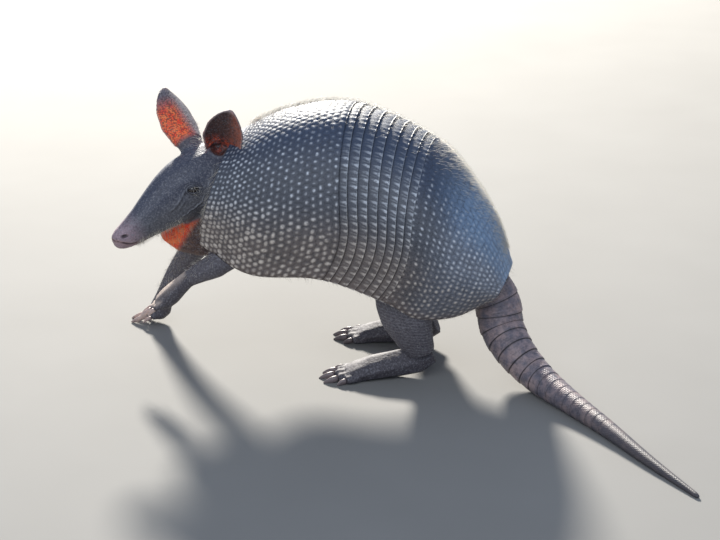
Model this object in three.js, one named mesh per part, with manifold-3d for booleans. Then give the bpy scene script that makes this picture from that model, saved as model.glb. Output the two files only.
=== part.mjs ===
// A nine-banded armadillo (Dasypus novemcinctus), life size, in mid step: the head is lowered
// and turned to the animal's left, the right forepaw is planted, the left one is still lifted,
// and the tail runs down to the floor and back to the left.
//
// Millimetres, +Z up. The nose points towards -X, the animal's left side is -Y, and the floor
// is the plane z = 0. Everything is laid out round BODY, a point on the floor under the middle
// of the trunk; the group is then moved so that the origin is the middle of the whole animal's
// box, on the floor.

import * as THREE from 'three';
import { mergeVertices } from 'three/addons/utils/BufferGeometryUtils.js';
import Module from 'manifold-3d';

// ---------------------------------------------------------------- driving dimensions

const BODY = [-39.7, 58.9, 0];
const GAP = 0.3;
const SHELL_THICK = 3;
const SHELL_TUCK = 7;
const SHELL_SIDES = 20;
const BAND_COUNT = 8;
const BAND_STEP = 1.2;
const BELLY_SAG = 7;
const SOLE = 2;
const EYE_RADIUS = 4.6;
const EAR_LENGTH = 55;
const EAR_THICK = 2.2;

// The carapace from collar to tail: the ridge, the height of the widest point and the lower
// margin, each as x and z in the middle plane, with the half width at the widest point.
const CARAPACE = [
  { ridge: [-99, 187], widest: [-112, 142], margin: [-120, 106], half: 49 },
  { ridge: [-60, 207], widest: [-67, 146], margin: [-77, 89], half: 61 },
  { ridge: [-7, 215], widest: [-3, 146], margin: [-19, 92], half: 67 },
  { ridge: [57, 189], widest: [53, 132], margin: [31, 77], half: 66 },
  { ridge: [90, 155], widest: [78, 110], margin: [56, 63], half: 60 },
  { ridge: [110, 123], widest: [98, 90], margin: [84, 62], half: 49 },
  { ridge: [121, 88], widest: [116, 79], margin: [109, 71], half: 33 },
];
const FIRST_BAND_AT = 2 / 6;
const PELVIS_AT = 3 / 6;

const SHELL_SHARE = 0.8;
const TRUNK_STEPS = 12;
const CHEST_BULGE = 14;
const RUMP_BULGE = 2;
const CARAPACE_LENGTH = 260;
const LEG_LENGTH = 110;

// The head's turn to the left, its droop towards the nose and its tilt to the right, in
// degrees, and its sections from the back of the skull to the nose, as half width and half
// height round a point of the head's middle plane.
const HEAD_YAW = 42;
const HEAD_DROOP = 23;
const HEAD_TILT = 5.5;
const HEAD = [
  { ahead: -17, crown: 2, wide: 16, tall: 16 },
  { ahead: -6, crown: 1, wide: 22, tall: 22 },
  { ahead: 8, crown: 0, wide: 23.5, tall: 24 },
  { ahead: 24, crown: 0.7, wide: 22, tall: 25.3 },
  { ahead: 40, crown: -0.3, wide: 18.4, tall: 23.7 },
  { ahead: 57, crown: -2.4, wide: 14, tall: 19.4 },
  { ahead: 74, crown: -4.9, wide: 11, tall: 14.1 },
  { ahead: 89, crown: -6.4, wide: 9, tall: 10.6 },
  { ahead: 97, crown: -6, wide: 7.6, tall: 8 },
  { ahead: 101, crown: -5.4, wide: 4.6, tall: 4.6 },
];
const EYE_AT = { ahead: 29.8, aside: 16.7, crown: 3.8 };
const EAR_ROLL = { tip: 0.6, root: 2.7, fall: 3.2 };
const EAR_SUNK = 0.1;
const EAR_TIP = 0.8;
const EARS = {
  left: { root: [-11, 10, 18.5], up: [0.29, -0.62, 0.72], opening: [-0.17, -0.84, -0.52], half: 21 },
  right: { root: [1.6, -10, 28.6], up: [-0.62, 0.57, 0.53], opening: [-0.6, 0.32, -0.73], half: 23 },
};

// The throat and neck, from inside the chest to under the jaw.
const NECK = [
  [-95, 0, 140, 42, 42],
  [-110, -3, 130, 34, 44],
  [-124, -8, 119, 26, 39],
  [-138, -12, 112, 19, 31],
  [-149, -17, 108, 12, 20],
  [-157, -23, 108, 5, 8],
];

// A fore paw has four toes and a hind paw five, with the longest claws in the middle. `side`
// places the toe's root across the paw, `turn` splays it, and `drop` and `curl` bring the
// claw down.
const TOE_ROOT = 6;
const FORE_TOES = [
  { side: -8.5, turn: -14, toe: 6, claw: 10, thick: 3.3, drop: 1, curl: 3 },
  { side: -3, turn: -4, toe: 10, claw: 16, thick: 4, drop: 1.5, curl: 3 },
  { side: 3.2, turn: 3, toe: 9, claw: 15, thick: 4, drop: 1.5, curl: 3 },
  { side: 8.5, turn: 14, toe: 4, claw: 8, thick: 3.1, drop: 1, curl: 3 },
];
const HIND_TOES = [
  { side: -12, turn: -18, toe: 5, claw: 8, thick: 3.6, drop: 0.4, curl: 2.4 },
  { side: -6.4, turn: -8, toe: 10, claw: 12, thick: 4.2, drop: 0.6, curl: 3 },
  { side: 0, turn: 0, toe: 12, claw: 13, thick: 4.4, drop: 0.6, curl: 3.2 },
  { side: 6.4, turn: 8, toe: 10, claw: 12, thick: 4.2, drop: 0.6, curl: 3 },
  { side: 12, turn: 18, toe: 4, claw: 8, thick: 3.6, drop: 0.4, curl: 2.4 },
];

// Each limb, from inside the body to the ankle or wrist, then its foot. The left fore paw is
// lifted and hangs forward, the other three stand on the floor.
const LIMBS = {
  left_fore: {
    flank: [0.1, 1, 0.3],
    bendAt: 0.45,
    leg: [
      [-92, -28, 122, 13, 19],
      [-94, -35, 107, 12, 17],
      [-104, -44, 93, 11, 11.5],
      [-116, -48, 86.5, 9, 8.8],
      [-128, -49, 79.5, 7.4, 7],
    ],
    foot: [
      [-128.3, -49, 79.2, 7.2, 6.8],
      [-136, -48.8, 71.5, 8.6, 7.4],
      [-145, -48.4, 62, 9.8, 8.2],
      [-152, -48, 56, 9, 6.4],
    ],
    knuckles: [-151, -48, 57],
    ahead: [-0.88, 0.04, -0.48],
    top: [-0.48, 0, 0.88],
    toes: FORE_TOES,
  },
  right_fore: {
    flank: [0.2, 1, 0],
    bendAt: 0.45,
    leg: [
      [-104, 26, 118, 13, 18],
      [-126, 30, 97, 12, 14.5],
      [-146, 34, 74, 10.5, 11.5],
      [-162, 37, 51, 9, 9.5],
      [-174.5, 39, 27, 8, 8.6],
    ],
    foot: [
      [-174.8, 39, 26.6, 7.8, 8.4],
      [-178, 39, 19, 9, 8.6],
      [-181, 38.6, 12, 10.4, 9.6],
      [-185, 38.2, 9, 9.5, 7],
    ],
    knuckles: [-182, 38.2, 9.5],
    ahead: [-1, -0.06, -0.18],
    top: [-0.18, 0, 1],
    toes: FORE_TOES,
  },
  left_hind: {
    flank: [0.3, 1, 0],
    bendAt: 0.5,
    leg: [
      [58, -22, 108, 18, 34],
      [48, -31, 84, 17, 32],
      [44, -37, 62, 14, 26],
      [49, -34, 42, 11.5, 19],
      [55, -28, 25, 9.5, 13],
    ],
    foot: [
      [63, -19, 20, 7, 9],
      [52, -23, 15, 9.5, 12],
      [36, -27, 12, 11, 11],
      [18, -32, 9, 13, 9.5],
      [4, -36, 6, 14, 6.4],
      [-2, -37.5, 4.6, 12, 4.6],
    ],
    knuckles: [0, -37, 4],
    ahead: [-1, -0.27, 0],
    top: [0, 0, 1],
    toes: HIND_TOES,
  },
  right_hind: {
    flank: [-0.2, 1, 0],
    bendAt: 0.5,
    leg: [
      [56, 22, 108, 18, 34],
      [46, 31, 84, 17, 32],
      [40, 39, 62, 14, 26],
      [42, 41, 42, 11.5, 19],
      [47, 41, 25, 9.5, 13],
    ],
    foot: [
      [56, 40, 20, 7, 9],
      [45, 40, 15, 9.5, 12],
      [29, 40, 12, 11, 11],
      [11, 40.5, 9, 13, 9.5],
      [-3, 41, 6, 14, 6.4],
      [-9, 41, 4.6, 12, 4.6],
    ],
    knuckles: [-7, 41, 4],
    ahead: [-1, 0.08, 0],
    top: [0, 0, 1],
    toes: HIND_TOES,
  },
};

// The tail comes down from under the pelvic shield and lies on the floor from its third
// station on.
const TAIL_PARTS = 4;
const TAIL_LENGTH = 320;
const TAIL = [
  [98, 2, 84, 17, 17],
  [111, 0, 60, 18.5, 18.5],
  [117, -6, 40, 18, 17.5],
  [131, -21, 26, 15.5, 15.5],
  [150, -38, 16, 13.6, 13.6],
  [180, -66, 10.4, 11, 11],
  [217, -100, 8, 8.6, 8.6],
  [254, -146, 4.6, 5.4, 5.4],
  [285, -185, 1.4, 2, 2],
];

const SLATE = { color: 0x4a5058, roughness: 0.55, metalness: 0 };
const SKIN = { color: 0x776f73, roughness: 0.7, metalness: 0 };
const TAIL_SCALE = { color: 0x7d706c, roughness: 0.6, metalness: 0 };
const EAR_SKIN = { color: 0x6a5b62, roughness: 0.65, metalness: 0 };
const HORN = { color: 0xc9b0a0, roughness: 0.35, metalness: 0 };
const EYE_DARK = { color: 0x0d0b0b, roughness: 0.06, metalness: 0 };

// ---------------------------------------------------------------- working with solids

const wasm = await Module();
wasm.setup();
const animal = new THREE.Group();
const point = (x, y, z) => new THREE.Vector3(x, y, z);
const smooth = (points) => new THREE.CatmullRomCurve3(points, false, 'catmullrom');

function warp(geometry, place) {
  const at = geometry.attributes.position;
  for (let i = 0; i < at.count; i += 1) {
    const moved = place(at.getX(i), at.getY(i), at.getZ(i));
    at.setXYZ(i, moved.x, moved.y, moved.z);
  }
  return geometry;
}

function toSolid(geometry) {
  geometry.deleteAttribute('normal');
  geometry.deleteAttribute('uv');
  const merged = mergeVertices(geometry, 1e-3);
  const vertProperties = new Float32Array(merged.attributes.position.array);
  const triVerts = new Uint32Array(merged.index.array);
  const solid = new wasm.Manifold(new wasm.Mesh({ numProp: 3, vertProperties, triVerts }));
  if (solid.volume() > 0) return solid;
  triVerts.reverse();
  return new wasm.Manifold(new wasm.Mesh({ numProp: 3, vertProperties, triVerts }));
}

function toGeometry(solid) {
  const mesh = solid.getMesh();
  const geometry = new THREE.BufferGeometry();
  geometry.setAttribute('position', new THREE.BufferAttribute(mesh.vertProperties, 3));
  geometry.setIndex(new THREE.BufferAttribute(mesh.triVerts, 1));
  geometry.computeVertexNormals();
  return geometry;
}

function largestPiece(solid) {
  const byVolume = (a, b) => b.volume() - a.volume();
  return solid.decompose().sort(byVolume)[0];
}

function cutBy(solid, ...cutters) {
  const left = cutters.reduce((rest, cutter) => rest.subtract(cutter), solid);
  return largestPiece(left);
}

function add(name, solid, finish) {
  const mesh = new THREE.Mesh(toGeometry(solid), new THREE.MeshStandardMaterial(finish));
  mesh.name = name;
  animal.add(mesh);
}

// ---------------------------------------------------------------- round bodies on a route

// A route is a list of stations [x, y, z, half width, half depth]. The body is a cylinder
// carried along a smooth curve through them; `flank` says which way its width runs. The
// underside lies flat on the floor wherever it comes within SOLE of it.
function roundBody(stations, flank, { sides = 8, steps = 6, from = 0, to = 1, grow = 0 } = {}) {
  const spine = smooth(stations.map((s) => point(s[0], s[1], s[2])));
  const girth = smooth(stations.map((s) => point(s[3], s[4], 0)));
  const cylinder = new THREE.CylinderGeometry(1, 1, 1, sides, steps);
  return toSolid(warp(cylinder, (x, y, z) => {
    const t = from + (to - from) * (y + 0.5);
    const centre = spine.getPoint(t);
    const size = girth.getPoint(t);
    const ahead = spine.getTangent(t);
    const deep = point(0, 0, 0).crossVectors(ahead, flank).normalize();
    const across = point(0, 0, 0).crossVectors(deep, ahead).normalize();
    const at = centre.clone().addScaledVector(across, x * (size.x + grow));
    at.addScaledVector(deep, z * (size.y + grow));
    const underside = at.z < centre.z;
    at.z = underside && at.z < SOLE ? 0 : Math.max(at.z, 0);
    return at;
  }));
}

function ball(centre, radius, sides = 10) {
  const sphere = new THREE.SphereGeometry(radius, sides, Math.round(sides * 0.7));
  sphere.translate(centre.x, centre.y, centre.z);
  return toSolid(sphere);
}

// ---------------------------------------------------------------- carapace

const ridgeLine = smooth(CARAPACE.map((s) => point(s.ridge[0], 0, s.ridge[1])));
const widestLine = smooth(CARAPACE.map((s) => point(s.widest[0], 0, s.widest[1])));
const marginLine = smooth(CARAPACE.map((s) => point(s.margin[0], 0, s.margin[1])));
const halfWidths = smooth(CARAPACE.map((s) => point(s.half, 0, 0)));

// A point of the shell, a share u of the way from collar to tail. q runs from -1 at the left
// margin over the ridge to 1 at the right one. The section is an arch from one widest point
// over the ridge to the other, and below each a side wall that curves down to the margin and
// tucks in. `lift` is the height over the outer surface.
function shellPoint(u, q, lift) {
  const ridge = ridgeLine.getPoint(u);
  const widest = widestLine.getPoint(u);
  const margin = marginLine.getPoint(u);
  const half = halfWidths.getPoint(u).x + lift;
  const rise = ridge.distanceTo(widest);
  const wall = widest.distanceTo(margin);
  const arch = (Math.PI / 4) * (half + rise);
  const up = ridge.sub(widest).normalize();
  const reach = Math.abs(q) * (arch + wall);
  if (reach < arch) {
    const angle = (reach / arch) * (Math.PI / 2);
    const at = widest.addScaledVector(up, (rise + lift) * Math.cos(angle));
    at.y = Math.sign(q) * half * Math.sin(angle);
    return at;
  }
  const down = (reach - arch) / wall;
  const turn = widest.clone().addScaledVector(up, -wall / 2);
  const at = new THREE.QuadraticBezierCurve3(widest, turn, margin).getPoint(down);
  at.y = Math.sign(q) * (half - SHELL_TUCK * down * down);
  return at;
}

// One plate of the shell, from uFront to uRear. Its outside rises by `step` towards the rear
// edge, which in life covers the front of the plate behind.
function shellPlate(uFront, uRear, rows, step) {
  const slab = new THREE.BoxGeometry(2, 1, 1, SHELL_SIDES, 1, rows);
  return toSolid(warp(slab, (x, y, z) => {
    const back = z + 0.5;
    const outside = y > 0;
    return shellPoint(uFront + (uRear - uFront) * back, x, outside ? step * back : -SHELL_THICK);
  }));
}

// The flesh that fills the shell. Its section follows the shell from margin to margin at the
// height `lift`, and sags between the margins as the belly. `bulge` is how far the chest and
// the rump swell out of the two ends.
function fleshInShell(lift, sag, bulge) {
  const cylinder = new THREE.CylinderGeometry(1, 1, 1, SHELL_SIDES / SHELL_SHARE, TRUNK_STEPS);
  return toSolid(warp(cylinder, (x, y, z) => {
    const u = y + 0.5;
    if (Math.hypot(x, z) < 0.5) {
      const middle = widestLine.getPoint(u);
      middle.x += u < 0.5 ? -bulge[0] : bulge[1];
      return middle;
    }
    const turn = Math.atan2(x, z) / Math.PI;
    if (Math.abs(turn) <= SHELL_SHARE) return shellPoint(u, turn / SHELL_SHARE, lift);
    const margin = shellPoint(u, Math.sign(turn), lift);
    const share = (1 - Math.abs(turn)) / (1 - SHELL_SHARE);
    margin.y *= share;
    margin.z -= sag * Math.cos((share * Math.PI) / 2);
    return margin;
  }));
}

// All the room the trunk and its shell take up, which the limbs, neck and tail stop short of.
const filled = fleshInShell(BAND_STEP + GAP, BELLY_SAG + GAP, [CHEST_BULGE + GAP, RUMP_BULGE + GAP]);
const throat = (grow) => roundBody(NECK, point(0, 1, 0), { sides: 12, steps: 5, grow });

function carapace() {
  const plateGap = GAP / CARAPACE_LENGTH;
  const bandLength = (PELVIS_AT - FIRST_BAND_AT) / BAND_COUNT;
  const frontRows = FIRST_BAND_AT * TRUNK_STEPS;
  const rearRows = (1 - PELVIS_AT) * TRUNK_STEPS;
  add('scapular_shield', shellPlate(0, FIRST_BAND_AT - plateGap, frontRows, BAND_STEP), SLATE);
  for (let i = 0; i < BAND_COUNT; i += 1) {
    const uFront = FIRST_BAND_AT + i * bandLength;
    add(`band_${i + 1}`, shellPlate(uFront, uFront + bandLength - plateGap, 1, BAND_STEP), SLATE);
  }
  add('pelvic_shield', shellPlate(PELVIS_AT, 1, rearRows, 0), SLATE);
  add('trunk', fleshInShell(-SHELL_THICK - GAP, BELLY_SAG, [CHEST_BULGE, RUMP_BULGE]), SKIN);
}

// ---------------------------------------------------------------- head, ears, eyes and neck

// The head's own axes: `ahead` to the nose, `left` to its left side and `crown` upwards. Its
// origin is the middle of the skull between the ears.
const HEAD_AT = point(-114, -9, 158.5);
const HEAD_TURN = new THREE.Euler(
  THREE.MathUtils.degToRad(-HEAD_TILT),
  THREE.MathUtils.degToRad(-HEAD_DROOP),
  THREE.MathUtils.degToRad(HEAD_YAW),
  'ZYX',
);

function inHead(ahead, left, crown) {
  return point(-ahead, -left, crown).applyEuler(HEAD_TURN).add(HEAD_AT);
}

function headSolid(grow) {
  const stations = HEAD.map((s) => [...inHead(s.ahead, 0, s.crown).toArray(), s.wide, s.tall]);
  const flank = inHead(0, 1, 0).sub(HEAD_AT);
  return roundBody(stations, flank, { sides: 12, steps: 15, grow });
}

// An ear is a leaf of skin, rolled nearly into a tube at its root and opening out upwards. `up`
// is its length, `opening` the way it faces and `half` the half width of the leaf laid flat at
// its root. The tube starts a little below `root`, inside the head.
function earSolid({ root, up, opening, half }) {
  const foot = inHead(...root);
  const length = point(...up).normalize();
  const across = point(0, 0, 0).crossVectors(length, point(...opening).normalize()).normalize();
  const facing = point(0, 0, 0).crossVectors(across, length).normalize();
  const leaf = new THREE.BoxGeometry(2, 1, 1, 9, 7, 1);
  return toSolid(warp(leaf, (x, y, z) => {
    const height = -EAR_SUNK + (1 + EAR_SUNK) * (y + 0.5);
    const share = Math.max(0, height);
    const halfWidth = half * (1 - share) ** 0.62 * (1 + 0.5 * share) + EAR_TIP;
    const roll = EAR_ROLL.tip + (EAR_ROLL.root - EAR_ROLL.tip) * Math.exp(-EAR_ROLL.fall * share);
    const radius = halfWidth / roll;
    const depth = radius + EAR_THICK * z;
    const at = foot.clone().addScaledVector(length, EAR_LENGTH * height);
    at.addScaledVector(across, depth * Math.sin(x * roll));
    return at.addScaledVector(facing, radius - depth * Math.cos(x * roll));
  }));
}

function headAndNeck() {
  const eyeAt = {
    left: inHead(EYE_AT.ahead, EYE_AT.aside, EYE_AT.crown),
    right: inHead(EYE_AT.ahead, -EYE_AT.aside, EYE_AT.crown),
  };
  const sockets = Object.values(eyeAt).map((at) => ball(at, EYE_RADIUS + GAP));
  add('head', cutBy(headSolid(0), filled, ...sockets), SKIN);
  add('neck', cutBy(throat(0), filled, headSolid(GAP)), SKIN);
  for (const side of ['left', 'right']) {
    add(`eye_${side}`, ball(eyeAt[side], EYE_RADIUS), EYE_DARK);
    add(`ear_${side}`, cutBy(earSolid(EARS[side]), headSolid(GAP), filled), EAR_SKIN);
  }
}

// ---------------------------------------------------------------- legs

// A paw: the foot with its toes as one solid, and each claw on its own. `knuckles` is the
// middle of the toes' roots, `ahead` the way the toes point and `top` the back of the paw.
// `shank` is the leg above it, with the gap that the paw keeps from it.
function paw(name, stations, knuckles, ahead, top, toes, shank) {
  const side = point(0, 0, 0).crossVectors(top, ahead).normalize();
  let foot = roundBody(stations, side, { sides: 8, steps: 5 });
  toes.forEach((toe, i) => {
    const heading = ahead.clone().applyAxisAngle(top, THREE.MathUtils.degToRad(toe.turn));
    const root = knuckles.clone().addScaledVector(side, toe.side);
    const reach = (length, drop) => {
      return root.clone().addScaledVector(heading, length).addScaledVector(top, -drop).toArray();
    };
    const toeStations = [
      [...reach(-TOE_ROOT, 0), toe.thick, toe.thick],
      [...reach(toe.toe * 0.5, toe.drop * 0.4), toe.thick * 1.02, toe.thick * 0.98],
      [...reach(toe.toe, toe.drop), toe.thick * 0.8, toe.thick * 0.8],
    ];
    foot = foot.add(roundBody(toeStations, side, { sides: 6, steps: 3 }));
    const clawStations = [
      [...reach(toe.toe + GAP, toe.drop), toe.thick * 0.6, toe.thick * 0.66],
      [...reach(toe.toe + toe.claw * 0.5, toe.drop + toe.curl * 0.2), toe.thick * 0.5, toe.thick * 0.55],
      [...reach(toe.toe + toe.claw, toe.drop + toe.curl), toe.thick * 0.12, toe.thick * 0.12],
    ];
    add(`${name}_claw_${i + 1}`, roundBody(clawStations, side, { sides: 6, steps: 3 }), HORN);
  });
  add(`${name}_foot`, cutBy(foot, filled, shank), SKIN);
}

// The upper and lower leg are one body, parted at the knee or elbow by a thin cut.
function leg(name, stations, flank, bendAt) {
  const cut = GAP / 2 / LEG_LENGTH;
  const upper = { sides: 10, steps: 5, to: bendAt - cut };
  const lower = { sides: 10, steps: 5, from: bendAt + cut };
  add(`${name}_upper`, cutBy(roundBody(stations, flank, upper), filled, throat(GAP)), SKIN);
  add(`${name}_lower`, cutBy(roundBody(stations, flank, lower), filled), SKIN);
  return roundBody(stations, flank, { ...lower, grow: GAP });
}

function legs() {
  for (const [name, limb] of Object.entries(LIMBS)) {
    const ahead = point(...limb.ahead).normalize();
    const top = point(...limb.top).normalize();
    const shank = leg(name, limb.leg, point(...limb.flank), limb.bendAt);
    paw(name, limb.foot, point(...limb.knuckles), ahead, top, limb.toes, shank);
  }
}

// ---------------------------------------------------------------- tail

function tail() {
  const cut = GAP / 2 / TAIL_LENGTH;
  for (let i = 0; i < TAIL_PARTS; i += 1) {
    const from = i / TAIL_PARTS + (i > 0 ? cut : 0);
    const to = (i + 1) / TAIL_PARTS - (i < TAIL_PARTS - 1 ? cut : 0);
    const length = roundBody(TAIL, point(0, 1, 0), { sides: 10, steps: 6, from, to });
    add(`tail_${i + 1}`, i === 0 ? cutBy(length, filled) : length, TAIL_SCALE);
  }
}

carapace();
headAndNeck();
legs();
tail();

animal.position.set(...BODY);
export default animal;
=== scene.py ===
import math
from contextlib import contextmanager

import bmesh
import bpy
import numpy as np
from mathutils import Euler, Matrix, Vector
from mathutils.bvhtree import BVHTree
from mathutils.kdtree import KDTree


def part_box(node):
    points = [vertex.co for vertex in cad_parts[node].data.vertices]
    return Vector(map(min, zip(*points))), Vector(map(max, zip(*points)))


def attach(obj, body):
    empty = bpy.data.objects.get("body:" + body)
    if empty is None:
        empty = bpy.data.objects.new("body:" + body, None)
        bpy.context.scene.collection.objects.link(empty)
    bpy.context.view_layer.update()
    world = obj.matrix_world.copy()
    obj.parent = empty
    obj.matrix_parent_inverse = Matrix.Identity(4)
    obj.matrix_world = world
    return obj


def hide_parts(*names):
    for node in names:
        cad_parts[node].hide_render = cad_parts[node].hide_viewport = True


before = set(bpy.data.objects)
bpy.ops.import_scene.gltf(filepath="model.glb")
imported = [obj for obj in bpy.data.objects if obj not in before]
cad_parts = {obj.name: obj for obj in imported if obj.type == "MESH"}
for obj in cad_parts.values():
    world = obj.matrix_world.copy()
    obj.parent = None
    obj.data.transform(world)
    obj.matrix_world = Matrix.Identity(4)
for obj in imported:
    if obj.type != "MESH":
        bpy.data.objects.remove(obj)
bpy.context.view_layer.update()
MM = 0.001
BODY = np.array((-39.6, 58.9, 0.0)) * MM

# ---------------------------------------------------------------- the shell
# Horny scutes over bone: a stiff shield over the shoulders, another over the hips, and between
# them eight bands that slide under one another. Each plate is a closed slab whose rear edge
# stands clear of the plate behind, and every scute is raised in its surface.

CARAPACE = np.array([
    # ridge x, z   widest x, z   margin x, z   half width
    (-99, 187, -112, 142, -120, 106, 49),
    (-60, 207, -67, 146, -77, 89, 61),
    (-7, 215, -3, 146, -19, 92, 67),
    (57, 189, 53, 132, 31, 77, 66),
    (90, 155, 78, 110, 56, 63, 60),
    (110, 123, 98, 90, 84, 62, 49),
    (121, 88, 116, 79, 109, 71, 33),
]) * MM
FIRST_BAND_AT = 2 / 6
PELVIS_AT = 3 / 6
SHELL_TUCK = 7 * MM
SHELL_THICK = 2.4 * MM
RIM_BEAD = 0.7 * MM
RIM_AT = 0.985
INNER_STEP = 8

# The scutes: how many stand in a row at most and how close, how much they vary in place and
# shape, and the sizes of a scute's dome and of the groove round it.
SCUTES_ROUND = 58
CLOSEST_SCUTES = 4.3 * MM
ROW_LIMIT = 80
SCUTE_JITTER = 0.075
SCUTE_STRETCH = 0.18
STRETCH_LIMITS = (0.78, 1.3)
DOME_FOOT = 2.3 * MM
DOME_TOP = 0.7 * MM
DOME_RISE = 0.26 * MM
GROOVE_WIDTH = 0.8 * MM
GROOVE_DEPTH = 0.16 * MM

# The bands: how many there are, the share of each that is tucked under the plate in front, its
# grid, how low it starts and how far it rises, its grooves and ribs, and the keels on the back.
BAND_COUNT = 8
BAND_TUCKED = 0.4
BAND_GRID = (15, 431)
BAND_SUNK = 1.1 * MM
BAND_RISE = 1.7 * MM
BAND_GROOVE = 0.14 * MM
BAND_RIB = 0.1 * MM
KEEL_RISE = 1.3


def spline(points):
    """A smooth curve through the points, as a function of the share 0..1 along them."""
    points = np.asarray(points, float)
    ends = (2 * points[:1] - points[1:2], 2 * points[-1:] - points[-2:-1])
    p = np.vstack((ends[0], points, ends[1]))

    def at(t):
        along = np.clip(np.atleast_1d(t), 0, 1) * (len(points) - 1)
        i = np.minimum(along.astype(int), len(points) - 2)
        w = (along - i)[:, None]
        a, b, c, d = p[i], p[i + 1], p[i + 2], p[i + 3]
        return 0.5 * (2 * b + (c - a) * w + (2 * a - 5 * b + 4 * c - d) * w**2
                      + (3 * b - a - 3 * c + d) * w**3)
    return at


def smooth(low, high, x):
    """0 up to low and 1 from high on, with soft ends, or 1 to 0 if low is the larger."""
    t = np.clip((x - low) / (high - low), 0, 1)
    return t * t * (3 - 2 * t)


def length_of(v):
    return np.linalg.norm(v, axis=-1, keepdims=True)


def unit(v):
    return v / np.maximum(length_of(v), 1e-12)


carapace_at = spline(CARAPACE)


def shell_arc(u, lift=0.0):
    """The length of the shell's arch and of its side wall at u, from the ridge outwards."""
    line = carapace_at(u)
    rise = length_of(line[:, 0:2] - line[:, 2:4])[:, 0]
    wall = length_of(line[:, 2:4] - line[:, 4:6])[:, 0]
    return math.pi / 4 * (line[:, 6] + lift + rise), wall


def shell_point(u, q, lift):
    """A point of the shell a share u from collar to tail; q is -1 at the left margin, 1 at the right."""
    line = carapace_at(u)
    ridge, widest, margin = line[:, 0:2], line[:, 2:4], line[:, 4:6]
    half = line[:, 6] + lift
    arch, wall = shell_arc(u, lift)
    rise = length_of(ridge - widest)
    up = unit(ridge - widest)
    reach = np.abs(q) * (arch + wall)
    angle = np.clip(reach / arch, 0, 1) * math.pi / 2
    over = widest + up * (rise + np.reshape(lift, (-1, 1))) * np.cos(angle)[:, None]
    down = np.clip((reach - arch) / wall, 0, 1)[:, None]
    turn = widest - up * wall[:, None] / 2
    beside = (1 - down)**2 * widest + 2 * down * (1 - down) * turn + down**2 * margin
    xz = np.where((reach < arch)[:, None], over, beside)
    y = np.where(reach < arch, half * np.sin(angle), half - SHELL_TUCK * down[:, 0]**2) * np.sign(q)
    return np.column_stack((xz[:, 0], y, xz[:, 1])) + BODY


def paint(mesh, **attributes):
    """Stores one number for each point of the mesh under each of the given names."""
    for key, values in attributes.items():
        layer = mesh.attributes.new(key, "FLOAT", "POINT")
        layer.data.foreach_set("value", np.asarray(values, np.float32))


def make_object(name, verts, faces, uv=None, **attributes):
    """A mesh object; faces is a list of arrays, each with one face to a row, and uv runs by corner."""
    mesh = bpy.data.meshes.new(name)
    mesh.vertices.add(len(verts))
    mesh.vertices.foreach_set("co", np.asarray(verts, np.float32).ravel())
    sizes = np.concatenate([np.full(len(f), f.shape[1]) for f in faces])
    loops = np.concatenate([f.ravel() for f in faces])
    mesh.loops.add(len(loops))
    mesh.loops.foreach_set("vertex_index", loops.astype(np.int32))
    mesh.polygons.add(len(sizes))
    starts = np.concatenate(([0], np.cumsum(sizes)[:-1]))
    mesh.polygons.foreach_set("loop_start", starts.astype(np.int32))
    mesh.polygons.foreach_set("loop_total", sizes.astype(np.int32))
    mesh.update(calc_edges=True)
    mesh.polygons.foreach_set("use_smooth", np.ones(len(sizes), bool))
    if uv is not None:
        layer = mesh.uv_layers.new(name="OFBake")
        layer.uv.foreach_set("vector", np.asarray(uv, np.float32).ravel())
    paint(mesh, **attributes)
    mesh.validate()
    obj = bpy.data.objects.new(name, mesh)
    bpy.context.scene.collection.objects.link(obj)
    return obj


def slab(outer, thick):
    """A closed plate under a grid of points, with a coarse inside. Returns its points and faces."""
    rows, cols = outer.shape[:2]
    along = np.gradient(outer, axis=0)
    across = np.gradient(outer, axis=1)
    inward = unit(np.cross(along, across))
    middle = outer.reshape(-1, 3).mean(0)
    if (inward * (middle - outer)).sum() < 0:
        inward = -inward
    r = np.unique(np.append(np.arange(0, rows, INNER_STEP), rows - 1))
    c = np.unique(np.append(np.arange(0, cols, INNER_STEP), cols - 1))
    inner = (outer + inward * thick)[np.ix_(r, c)]
    fine = np.arange(rows * cols).reshape(rows, cols)
    coarse = np.arange(len(r) * len(c)).reshape(len(r), len(c)) + rows * cols

    def quads(g, turn):
        q = np.stack((g[:-1, :-1], g[1:, :-1], g[1:, 1:], g[:-1, 1:]), -1).reshape(-1, 4)
        return q[:, ::-1] if turn else q
    rim = []
    sides = ((fine[0], coarse[0], c), (fine[-1][::-1], coarse[-1][::-1], (cols - 1 - c)[::-1]),
             (fine[::-1, 0], coarse[::-1, 0], (rows - 1 - r)[::-1]), (fine[:, -1], coarse[:, -1], r))
    for f, g, at in sides:
        for k in range(len(g) - 1):
            half = (at[k] + at[k + 1]) // 2
            rim += [(f[j], f[j + 1], g[k]) for j in range(at[k], half)]
            rim += [(f[j], f[j + 1], g[k + 1]) for j in range(half, at[k + 1])]
            rim.append((f[half], g[k + 1], g[k]))
    facing_out = np.cross(along, across)[rows // 2, cols // 2] @ inward[rows // 2, cols // 2] < 0
    rim = np.array(rim)
    if facing_out:
        rim = rim[:, ::-1]
    points = np.vstack((outer.reshape(-1, 3), inner.reshape(-1, 3)))
    return points, [quads(fine, not facing_out), quads(coarse, facing_out), rim], len(inner.reshape(-1, 3))


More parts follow.
